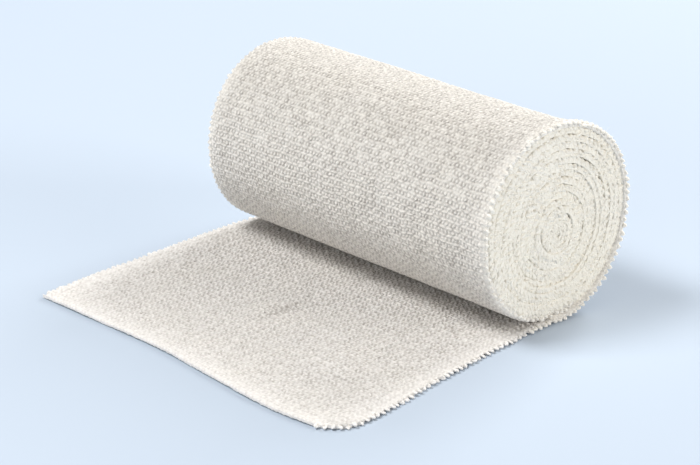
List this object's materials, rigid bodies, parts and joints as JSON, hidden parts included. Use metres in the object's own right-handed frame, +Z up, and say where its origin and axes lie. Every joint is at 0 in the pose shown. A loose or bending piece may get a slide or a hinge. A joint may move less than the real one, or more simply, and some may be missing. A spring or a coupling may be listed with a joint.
{
  "type": "short-stretch bandage roll",
  "caption": "Roll of cream cotton crepe bandage with looped selvedges, wound on itself under light tension, its free end lying flat in front of the roll.",
  "frame": {"origin": "on the flat spot under the roll's axis, halfway along the roll, at the surface it rests on", "axes": "+Z up; +Y along the roll's axis, away from the end face that shows; the free end lies towards -X"},
  "size_m": [0.1026, 0.1064, 0.0489],
  "materials": {
    "cotton_crepe": "matt, slightly fuzzy unbleached-white plain weave of high-twist cotton, with a crepe surface"
  },
  "bodies": {
    "root": {"wound_roll": "cotton_crepe", "loose_end": "cotton_crepe"}
  },
  "joints": []
}
